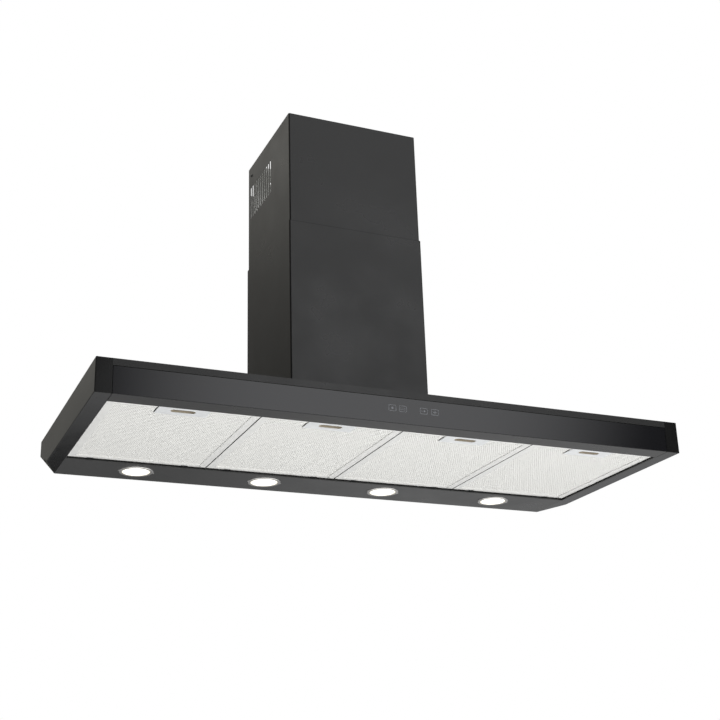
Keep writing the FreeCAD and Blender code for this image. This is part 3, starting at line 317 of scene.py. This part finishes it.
def moulded_plastic(name, colour, roughness, grain=1600.0, height=0.15, sheen=0.5):
    """Grained plastic or foam; sheen is how strongly its skin mirrors, 0.5 for plain plastic."""
    material, tree, shader = new_material(name, colour, roughness, Specular_IOR_Level=sheen)
    skin = use(tree, GRAIN, Scale=grain, Roughness=roughness)
    feed(tree, shader.inputs["Roughness"], skin["Roughness"])
    tinted(tree, shader, skin["Height"], scaled_colour(colour, 0.85), scaled_colour(colour, 1.12))
    bump(tree, shader, skin["Height"], height, GRAIN_RELIEF)
    return material


def control_glass():
    """Glass painted black on its back, with a faint wiped haze."""
    colour, haze = (0.0105, 0.0105, 0.0125), (0.02, 0.02, 0.022)
    clean, wiped = 0.05, 0.12
    material, tree, shader = new_material("control_glass", colour, clean, IOR=1.52)
    marks = use(tree, SMUDGES, Scale=9.0, Amount=0.6)
    tinted(tree, shader, marks["Mask"], colour, haze)
    feed(tree, shader.inputs["Roughness"], ranged(tree, marks["Mask"], 0.0, 1.0, clean, wiped))
    return material


def lamp_glass():
    """Frosted lens, lit from behind: brighter in the middle than at its rim."""
    middle_glow, rim_glow = (1.0, 0.98, 0.94), (0.1, 0.085, 0.05)
    material, tree, shader = new_material("lamp_lens", (0.72, 0.7, 0.64), 0.35, Emission_Strength=1.6)
    point = object_point(tree)
    frost = add(tree, "ShaderNodeTexNoise", Scale=220.0, Detail=2.0, Vector=point).outputs["Fac"]
    x, y, _ = axes_of(tree, point)
    low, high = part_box("lamp_4_lens")
    middle, radius = (low + high) / 2, (high.x - low.x) / 2
    pitch = middle.x - (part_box("lamp_3_lens")[0].x + radius)
    along = maths(tree, "SUBTRACT", maths(tree, "FLOORED_MODULO", x, pitch), middle.x % pitch)
    across = maths(tree, "SUBTRACT", y, middle.y)
    squares = [maths(tree, "POWER", value, 2) for value in (along, across)]
    distance = maths(tree, "SQRT", maths(tree, "ADD", *squares))
    frosted = maths(tree, "ADD", distance, maths(tree, "MULTIPLY", frost, 2 * MM))
    glow = mixed(tree, "RGBA", ranged(tree, frosted, radius * 0.78, radius * 1.04), middle_glow, rim_glow)
    feed(tree, shader.inputs["Emission Color"], glow)
    bump(tree, shader, frost, 0.1, GRAIN_RELIEF)
    return material


MATERIALS = {
    "black_steel": black_coat("black_steel", BLACK, 0.3, smudge=0.35),
    "cap_gloss": black_coat("cap_gloss", (0.007, 0.007, 0.0069), 0.12, grain=1200.0, height=0.03),
    "black_glass": control_glass(),
    "foam_tape": moulded_plastic("foam_tape", (0.006, 0.006, 0.006), 0.9, sheen=0.1),
    "circuit_board": moulded_plastic("circuit_board", (0.012, 0.09, 0.045), 0.4),
    "filter_frame": frame_metal(),
    "filter_mesh": brushed_metal("filter_mesh", (0.89, 0.89, 0.872), 0.6, 500.0, 0.25),
    "latch_plate": latch_metal(),
    "spring_steel": brushed_metal("spring_steel", (0.5, 0.5, 0.51), 0.3, 900.0),
    "lamp_bezel": brushed_metal("lamp_bezel", (0.62, 0.61, 0.6), 0.3, 700.0, 0.05),
    "lamp_lens": lamp_glass(),
    "lamp_housing": brushed_metal("lamp_housing", (0.45, 0.45, 0.47), 0.5, 400.0, 0.3),
    "zinc_steel": galvanised("zinc_steel", (0.55, 0.57, 0.59)),
    "grey_plastic": moulded_plastic("grey_plastic", (0.17, 0.18, 0.19), 0.5),
    "motor_paint": black_coat("motor_paint", (0.06, 0.06, 0.065), 0.45),
    "box_plastic": moulded_plastic("box_plastic", (0.03, 0.03, 0.032), 0.55),
    "screw_steel": brushed_metal("screw_steel", (0.42, 0.42, 0.44), 0.35, 800.0),
}


def repaint_nodes():
    """Gives each CAD node its finish; the covers and the wall bracket have one of their own."""
    own = {name: cover_coat(name) for name in ("lower_chimney", "upper_chimney")}
    own["wall_bracket"] = moulded_plastic("bracket_primer", (0.75, 0.75, 0.72), 0.6, grain=500.0)
    for name, thing in NODES.items():
        for place in thing.material_slots:
            place.material = own.get(name, MATERIALS[SLOT_OF[name]])


# ------------------------------------------------------------------ mesh helpers
def as_mesh(bm, name):
    mesh = bpy.data.meshes.new(name)
    bm.to_mesh(mesh)
    bm.free()
    return mesh


def as_object(name, data):
    thing = bpy.data.objects.new(name, data)
    bpy.context.scene.collection.objects.link(thing)
    return thing


def finish_piece(bm, name, body, slot_name, smooth_angle=None, material=None):
    """Turns a bmesh into a piece that rides on a body and takes its finish from a slot."""
    mesh = as_mesh(bm, name)
    mesh.materials.append(material or MATERIALS[slot_name])
    if smooth_angle is not None:
        mesh.shade_smooth()
        mesh.set_sharp_from_angle(angle=math.radians(smooth_angle))
    piece = as_object(name, mesh)
    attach(piece, body)
    return piece


def outward(bm):
    """Merges doubled points and turns the faces of a closed shell outwards."""
    bmesh.ops.remove_doubles(bm, verts=bm.verts, dist=MM / 1000)
    bmesh.ops.recalc_face_normals(bm, faces=bm.faces)


def block(bm, middle, size):
    made = bmesh.ops.create_cube(bm, size=1.0)["verts"]
    bmesh.ops.scale(bm, verts=made, vec=size)
    bmesh.ops.translate(bm, verts=made, vec=middle)


def ease_edges(bm, offset, segments):
    bmesh.ops.bevel(bm, geom=bm.edges[:], offset=offset, offset_type="OFFSET", segments=segments,
                    profile=0.5, affect="EDGES", material=-1)


def turned(bm, profile, steps):
    """A closed solid turned about the Z axis from a profile of radii and heights."""
    verts = [bm.verts.new((r, 0, z)) for r, z in profile]
    edges = [bm.edges.new(pair) for pair in zip(verts, verts[1:])]
    bmesh.ops.spin(bm, geom=verts + edges, cent=(0, 0, 0), axis=(0, 0, 1), angle=2 * math.pi, steps=steps,
                   use_merge=True)
    outward(bm)


def sliced(bm, point, normal, clear=False):
    """Splits a mesh along a plane; clear drops what lies on the normal's side."""
    bmesh.ops.bisect_plane(bm, geom=bm.verts[:] + bm.edges[:] + bm.faces[:], plane_co=point, plane_no=normal,
                           clear_outer=clear)


# ------------------------------------------------------------------ filters
SHEET_PITCH = 4.6 * MM                             # between the mesh's holes
ROW_STEP = SHEET_PITCH * math.sqrt(3) / 2
HOLE_RADIUS = 1.0 * MM
FOIL = 0.5 * MM                                    # depth of the mesh's hole walls
RIB_HEIGHT = 0.3 * MM
WAVE_STEP = 3.2 * MM                               # of the corrugated layer


def perforated_cell():
    """One hexagon of sheet with a six-sided hole through it, as a mesh for the array to repeat."""
    bm = bmesh.new()
    bmesh.ops.create_circle(bm, segments=6, radius=SHEET_PITCH / math.sqrt(3))
    hole = bmesh.ops.create_circle(bm, segments=6, radius=HOLE_RADIUS)["verts"]
    bmesh.ops.bridge_loops(bm, edges=bm.edges[:])
    rim = [e for e in bm.edges if e.verts[0] in hole and e.verts[1] in hole]
    wall = bmesh.ops.extrude_edge_only(bm, edges=rim)["geom"]
    raised = [v for v in wall if isinstance(v, bmesh.types.BMVert)]
    bmesh.ops.translate(bm, verts=raised, vec=(0, 0, FOIL))
    bmesh.ops.recalc_face_normals(bm, faces=bm.faces)
    flat = [f for f in bm.faces if abs(f.normal.z) > 0.9]
    if flat[0].normal.z > 0:
        bmesh.ops.reverse_faces(bm, faces=bm.faces)
    return as_mesh(bm, "cell")


def tiled(cell, width, depth):
    """The cell repeated over a rectangle that it more than covers, as a bmesh about the origin."""
    columns = int(width / SHEET_PITCH) + 3
    pairs = int(depth / ROW_STEP / 2) + 2
    thing = as_object("tiling", cell)
    steps = (((SHEET_PITCH, 0, 0), columns), ((SHEET_PITCH / 2, ROW_STEP, 0), 2),
             ((0, 2 * ROW_STEP, 0), pairs))
    for offset, count in steps:
        array = thing.modifiers.new("rows", "ARRAY")
        array.use_relative_offset = False
        array.use_constant_offset = True
        array.constant_offset_displace = offset
        array.count = count
    evaluated = thing.evaluated_get(bpy.context.evaluated_depsgraph_get())
    bm = bmesh.new()
    bm.from_mesh(evaluated.to_mesh())
    evaluated.to_mesh_clear()
    bpy.data.objects.remove(thing)
    bmesh.ops.translate(bm, verts=bm.verts, vec=(-columns * SHEET_PITCH / 2, -pairs * ROW_STEP, 0))
    return bm


def cut_away(bm, x0, x1, y1):
    """Takes out the part of a sheet between two X planes and in front of a Y plane."""
    for point, normal in (((x0, 0, 0), (1, 0, 0)), ((x1, 0, 0), (1, 0, 0)), ((0, y1, 0), (0, 1, 0))):
        sliced(bm, point, normal)
    middles = ((face, face.calc_center_median()) for face in bm.faces)
    gone = [face for face, middle in middles if x0 < middle.x < x1 and middle.y < y1]
    bmesh.ops.delete(bm, geom=gone, context="FACES")


def filter_sheets():
    """Each filter's visible perforated sheet and the wavy layer behind it, in place of the plain block. The
    sheet leaves a slit at the latch's left side, and laps under its right side and its rear."""
    tuck, slit, side_lap, rear_lap = 1 * MM, 2 * MM, 2 * MM, 0.5 * MM
    for number in FILTERS:
        low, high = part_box(f"filter_{number}_mesh")
        latch_low, latch_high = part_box(f"latch_{number}")
        middle, size = (low + high) / 2, high - low
        bm = tiled(perforated_cell(), size.x, size.y)
        for axis, half in (((1, 0, 0), size.x / 2 - tuck), ((0, 1, 0), size.y / 2 - tuck)):
            for side in (-1, 1):
                away = Vector(axis) * side
                sliced(bm, away * half, away, clear=True)
        bmesh.ops.translate(bm, verts=bm.verts, vec=(middle.x, middle.y, low.z))
        bmesh.ops.remove_doubles(bm, verts=bm.verts, dist=MM / 1000)
        for v in bm.verts:
            v.co.z += RIB_HEIGHT * (1 + math.sin(math.pi * v.co.y / ROW_STEP))
        cut_away(bm, latch_low.x - slit, latch_high.x - side_lap, latch_high.y - rear_lap)
        sheet = finish_piece(bm, f"filter_{number}_sheet", f"filter_{number}", "filter_mesh")
        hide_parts(f"filter_{number}_mesh")
        wavy_layer(number, low, high, latch_high.y)


def wavy_layer(number, low, high, latch_back):
    """Corrugated aluminium layer behind the sheet."""
    inset, wave_height, above = 2 * MM, 0.8 * MM, 2.6 * MM
    width = high.x - low.x - 2 * inset
    depth = high.y - latch_back - inset
    bm = bmesh.new()
    bmesh.ops.create_grid(bm, x_segments=int(width / WAVE_STEP), y_segments=int((depth - inset) / WAVE_STEP),
                          size=0.5)
    for v in bm.verts:
        x = low.x + inset + (v.co.x + 0.5) * width
        y = latch_back + (v.co.y + 0.5) * depth
        wave = wave_height * (math.sin(x / WAVE_STEP * 1.9) * math.cos(y / WAVE_STEP * 1.7))
        v.co = (x, y, low.z + above + wave)
    bmesh.ops.recalc_face_normals(bm, faces=bm.faces)
    finish_piece(bm, f"filter_{number}_layer", f"filter_{number}", "filter_mesh", 60)


def latch_coils():
    """Coil springs behind the finger pulls, each with a mesh of its own, riding on its filter."""
    for number in FILTERS:
        node = f"latch_{number}_spring"
        bm = bmesh.new()
        bm.from_mesh(NODES[node].data)
        outward(bm)
        coil = finish_piece(bm, f"latch_{number}_coil", f"filter_{number}", "spring_steel", 60)
        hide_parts(node)
        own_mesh(coil)


# ------------------------------------------------------------------ touch icons
# each icon's middle on the glass, its bars (x, z, width, height) and its dots (x, radius), in millimetres
ICONS = {
    "power": (-44.5, (), ((0, 2.1),)),
    "slower": (-22.8, tuple((x, z, 2.2, 0.8) for z in (-1.6, 1.6) for x in (-4, 0, 4)), ()),
    "faster": (20.5, ((-3.75, 0, 4.5, 0.8),), ((1.5, 1.6),)),
    "light": (44.0, ((0, 0, 9, 0.8), (0, -2.25, 0.8, 3.5), (0, 2.25, 0.8, 3.5)), ()),
}
ICON_Z = 30 * MM
ICON_SIZE = (15.5 * MM, 12 * MM)
ICON_CORNER = 2.2 * MM
ICON_LINE = 0.7 * MM
PRINT_DEPTH = 0.05 * MM


def on_glass(x, y, z):
    """Stands a flat shape up at a point, facing the front."""
    return Matrix.Translation((x, y, z)) @ Matrix.Rotation(math.radians(90), 4, "X")


def flat_bar(bm, place, width, height):
    turn = place @ Matrix.Diagonal((width, height, 1, 1))
    return bmesh.ops.create_grid(bm, x_segments=1, y_segments=1, size=0.5, matrix=turn)["verts"]


def flat_ring(bm, place):
    """A rounded rectangular line of print: two rounded rectangles with the strip between them."""
    width, height = ICON_SIZE
    for inset, radius in ((0, ICON_CORNER), (ICON_LINE, ICON_CORNER - ICON_LINE * 0.6)):
        corners = flat_bar(bm, place, width - 2 * inset, height - 2 * inset)
        bmesh.ops.bevel(bm, geom=corners, offset=radius, offset_type="OFFSET", segments=3, profile=0.5,
                        affect="VERTICES", material=-1)
    bmesh.ops.delete(bm, geom=bm.faces[:], context="FACES_ONLY")
    bmesh.ops.bridge_loops(bm, edges=bm.edges[:])


def touch_icons():
    """Four printed outlines in the middle of the glass: power, speed down, speed up and light; the print has
    a faint painted glow.
    """
    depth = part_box("glass_panel")[0].y - PRINT_DEPTH
    # the emission gives the print a faint painted glow
    material, _, _ = new_material("icon_print_painted_glow", (0.25, 0.26, 0.28), 0.5, Emission_Color=(0.5, 0.52, 0.56),
                                  Emission_Strength=0.06)
    for name, (across, bars, dots) in ICONS.items():
        bm = bmesh.new()
        flat_ring(bm, on_glass(across * MM, depth, ICON_Z))
        for x, z, width, height in bars:
            flat_bar(bm, on_glass((across + x) * MM, depth, ICON_Z + z * MM), width * MM, height * MM)
        for x, radius in dots:
            bmesh.ops.create_circle(bm, cap_ends=True, segments=14, radius=radius * MM,
                                    matrix=on_glass((across + x) * MM, depth, ICON_Z))
        bmesh.ops.recalc_face_normals(bm, faces=bm.faces)
        bmesh.ops.reverse_faces(bm, faces=[f for f in bm.faces if f.normal.y > 0])
        finish_piece(bm, f"icon_{name}", "canopy", "black_glass", material=material)


# ------------------------------------------------------------------ lamps, seal and screws
def lamp_details():
    """Lens with a ring of fine prisms at its rim, and the two small tabs on each bezel."""
    prisms, prism_step, prism_width, prism_height = 6, 0.9 * MM, 0.5 * MM, 0.35 * MM
    tab, tab_out, tab_up = (3.2 * MM, 7 * MM, 1.1 * MM), 0.4 * MM, 0.85 * MM
    for number in LAMPS:
        low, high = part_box(f"lamp_{number}_lens")
        bezel_low, bezel_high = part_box(f"lamp_{number}_bezel")
        middle = (low + high) / 2
        radius = (high.x - low.x) / 2
        profile = [(0, high.z), (radius, high.z), (radius, low.z + 0.3 * MM)]
        for ring in range(prisms):
            outer = radius - 0.4 * MM - ring * prism_step
            profile += [(outer, low.z), (outer - prism_width, low.z + prism_height)]
        profile += [(radius - 6.5 * MM, low.z + 0.1 * MM), (radius * 0.45, low.z), (0, low.z)]
        bm = bmesh.new()
        turned(bm, profile, 72)
        bmesh.ops.translate(bm, verts=bm.verts, vec=(middle.x, middle.y, 0))
        lens = finish_piece(bm, f"lamp_{number}_prisms", "canopy", "lamp_lens", 30)
        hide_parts(f"lamp_{number}_lens")
        bm = bmesh.new()
        for side in (-1, 1):
            out = bezel_high.x - middle.x + tab_out
            block(bm, (middle.x + side * out, middle.y, bezel_low.z + tab_up), tab)
        ease_edges(bm, 0.3 * MM, 2)
        finish_piece(bm, f"lamp_{number}_tabs", "canopy", "lamp_bezel", 40)


def opening_shade_strip():
    """Thin black strip in the foam tape's finish round the inside of the filter opening, below the filters'
    rolled edges: a dark sheet put in as painted shade.
    """
    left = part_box("left_side_panel")[1].x
    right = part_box("right_side_panel")[0].x
    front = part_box("front_rail")[1].y
    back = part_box("light_panel")[0].y
    thick, low, high = 0.5 * MM, 2.2 * MM, 3.9 * MM
    bm = bmesh.new()
    for x0, x1, y0, y1 in ((left, right, back - thick, back), (left, right, front, front + thick),
                           (left, left + thick, front, back), (right - thick, right, front, back)):
        block(bm, ((x0 + x1) / 2, (y0 + y1) / 2, (low + high) / 2), (x1 - x0, y1 - y0, high - low))
    ease_edges(bm, 0.12 * MM, 1)
    # the strip stands in for shade round the opening
    finish_piece(bm, "opening_shade_strip", "canopy", "foam_tape")


def dress_screws():
    """Pan-head screws in place of the plain ones on the upper cover's sides."""
    low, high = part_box("bracket_screws")
    middle = (low + high) / 2
    radius, shank, length = (high.y - low.y) / 2, 2 * MM, 8 * MM
    height = radius * 0.5
    profile = [(0, height), (radius * 0.55, height), (radius * 0.88, height * 0.72), (radius, height * 0.25),
               (radius, 0), (shank, 0), (shank, -length), (0, -length)]
    both = bmesh.new()
    for side, end in ((-1, low.x), (1, high.x)):
        bm = bmesh.new()
        turned(bm, profile, 24)
        seat = Matrix.Translation((end - side * height, middle.y, middle.z))
        outwards = Matrix.Rotation(math.radians(90 * side), 4, "Y")
        bmesh.ops.transform(bm, matrix=seat @ outwards, verts=bm.verts)
        both.from_mesh(as_mesh(bm, "screw"))
    piece = finish_piece(both, "bracket_screw_pair", "upper_chimney", "screw_steel", 35,
                         MATERIALS["black_steel"])
    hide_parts("bracket_screws")


# ------------------------------------------------------------------ studio
def floor():
    bm = bmesh.new()
    bmesh.ops.create_grid(bm, x_segments=1, y_segments=1, size=2.6)
    bmesh.ops.translate(bm, verts=bm.verts, vec=(0, -0.6, -1.6))
    mesh = as_mesh(bm, "floor")
    mesh.materials.append(new_material("pale_floor", (0.86, 0.86, 0.85), 0.7)[0])
    as_object("floor", mesh)


def area_light(name, place, target, size, power):
    data = bpy.data.lights.new(name, "AREA")
    data.shape = "RECTANGLE"
    data.size, data.size_y = size
    data.energy = power
    thing = as_object(name, data)
    thing.location = place
    thing.rotation_mode = "QUATERNION"
    thing.rotation_quaternion = (Vector(target) - Vector(place)).to_track_quat("-Z", "Y")


def toward(azimuth, elevation):
    """Direction at an angle from -Y towards +X, and up."""
    turn, lift = math.radians(azimuth), math.radians(elevation)
    return math.sin(turn) * math.cos(lift), -math.cos(turn) * math.cos(lift), math.sin(lift)


def cone(tree, direction, centre, inner, outer):
    """1 within one angle of a direction, 0 beyond another, and soft between."""
    product = add(tree, "ShaderNodeVectorMath", operation="DOT_PRODUCT")
    feed(tree, product.inputs[0], direction)
    feed(tree, product.inputs[1], centre)
    low, high = (math.cos(math.radians(angle)) for angle in (outer, inner))
    return ranged(tree, product.outputs["Value"], low, high)


def raised_by(tree, level, mask, share=1.0):
    """A level with a share of a mask added to it."""
    return maths(tree, "ADD", level, maths(tree, "MULTIPLY", mask, share))


def studio_world():
    """White studio, seen plain white. The hood is lit by a soft surround: bright in front, with a dim wall
    on the right that has a low and a high soft panel in it, and a dim flag on the left. The wall behind
    brightens upwards and has one narrow panel; below the horizon it is bright on the right, and low down
    on the left."""
    world = bpy.data.worlds.new("studio")
    world.use_nodes = True
    tree = world.node_tree
    tree.nodes.clear()
    direction = tree.nodes.new("ShaderNodeTexCoord").outputs["Generated"]
    x, y, z = axes_of(tree, direction)
    right_wall = cone(tree, direction, toward(25, 22), 20, 44)
    left_flag = cone(tree, direction, toward(-68, 28), 48, 66)
    front = mixed(tree, "FLOAT", maths(tree, "MAXIMUM", right_wall, left_flag), 1.2, 0.07)
    front = raised_by(tree, front, cone(tree, direction, toward(24, 19), 1, 13), 1.8)
    front = raised_by(tree, front, cone(tree, direction, toward(24, 42), 9, 22), 0.5)
    rear_high = ranged(tree, z, 0.28, 0.46, 0.06, 0.24)
    rear_high = maths(tree, "ADD", rear_high, ranged(tree, z, 0.43, 0.5, 0.0, 0.36))
    rear_high = raised_by(tree, rear_high, cone(tree, direction, (-0.168, 0.935, 0.312), 3, 7), 0.13)
    rear_low = ranged(tree, x, 0.22, 0.4, 0.04, 0.44)
    low_band = ranged(tree, z, -0.345, -0.295, 0.5, 0.0)
    rear_low = raised_by(tree, rear_low, low_band, ranged(tree, x, 0.2, 0.35, 1.0, 0.0))
    above = ranged(tree, z, -0.05, 0.08)
    behind = ranged(tree, y, -0.3, 0.1)
    rear = mixed(tree, "FLOAT", above, rear_low, rear_high)
    tint = mixed(tree, "RGBA", maths(tree, "MULTIPLY", behind, above), (0.98, 0.985, 1.0), (1.0, 0.98, 0.91))
    level = mixed(tree, "FLOAT", behind, front, rear)
    surround = add(tree, "ShaderNodeBackground", Color=tint, Strength=level)
    white = add(tree, "ShaderNodeBackground", Color=(1, 1, 1), Strength=1.0)
    mix = tree.nodes.new("ShaderNodeMixShader")
    feed(tree, mix.inputs[0], tree.nodes.new("ShaderNodeLightPath").outputs["Is Camera Ray"])
    feed(tree, mix.inputs[1], surround.outputs[0])
    feed(tree, mix.inputs[2], white.outputs[0])
    feed(tree, tree.nodes.new("ShaderNodeOutputWorld").inputs["Surface"], mix.outputs[0])
    bpy.context.scene.world = world


def camera():
    """Camera below and left of the hood, looking up at its underside."""
    place = (-1.00888, -2.56569, -0.73043)
    yaw, pitch, roll = (math.radians(a) for a in (23.784, 20.772, -1.803))
    ahead = Vector((math.sin(yaw) * math.cos(pitch), math.cos(yaw) * math.cos(pitch), math.sin(pitch)))
    right = Vector((math.cos(yaw), -math.sin(yaw), 0))
    up = right.cross(ahead)
    tilted_right = math.cos(roll) * right + math.sin(roll) * up
    tilted_up = -math.sin(roll) * right + math.cos(roll) * up
    data = bpy.data.cameras.new("camera")
    data.sensor_width = 36
    data.lens = 63.983
    data.clip_start, data.clip_end = 0.05, 60
    thing = as_object("camera", data)
    turn = Matrix((tilted_right, tilted_up, -ahead)).transposed().to_4x4()
    thing.matrix_world = Matrix.Translation(place) @ turn
    bpy.context.scene.camera = thing


camera()
repaint_nodes()
filter_sheets()
touch_icons()
lamp_details()
dress_screws()
opening_shade_strip()
latch_coils()
floor()
studio_world()
area_light("floor_panel", (0.5, -0.6, -1.55), (0.5, -0.6, 0), (3.6, 3.0), 42)
area_light("top_panel", (0, -0.3, 2.0), (0, -0.2, 0.7), (1.2, 1.2), 26)
bpy.context.scene.view_settings.view_transform = "Standard"
bpy.context.scene.view_settings.look = "None"
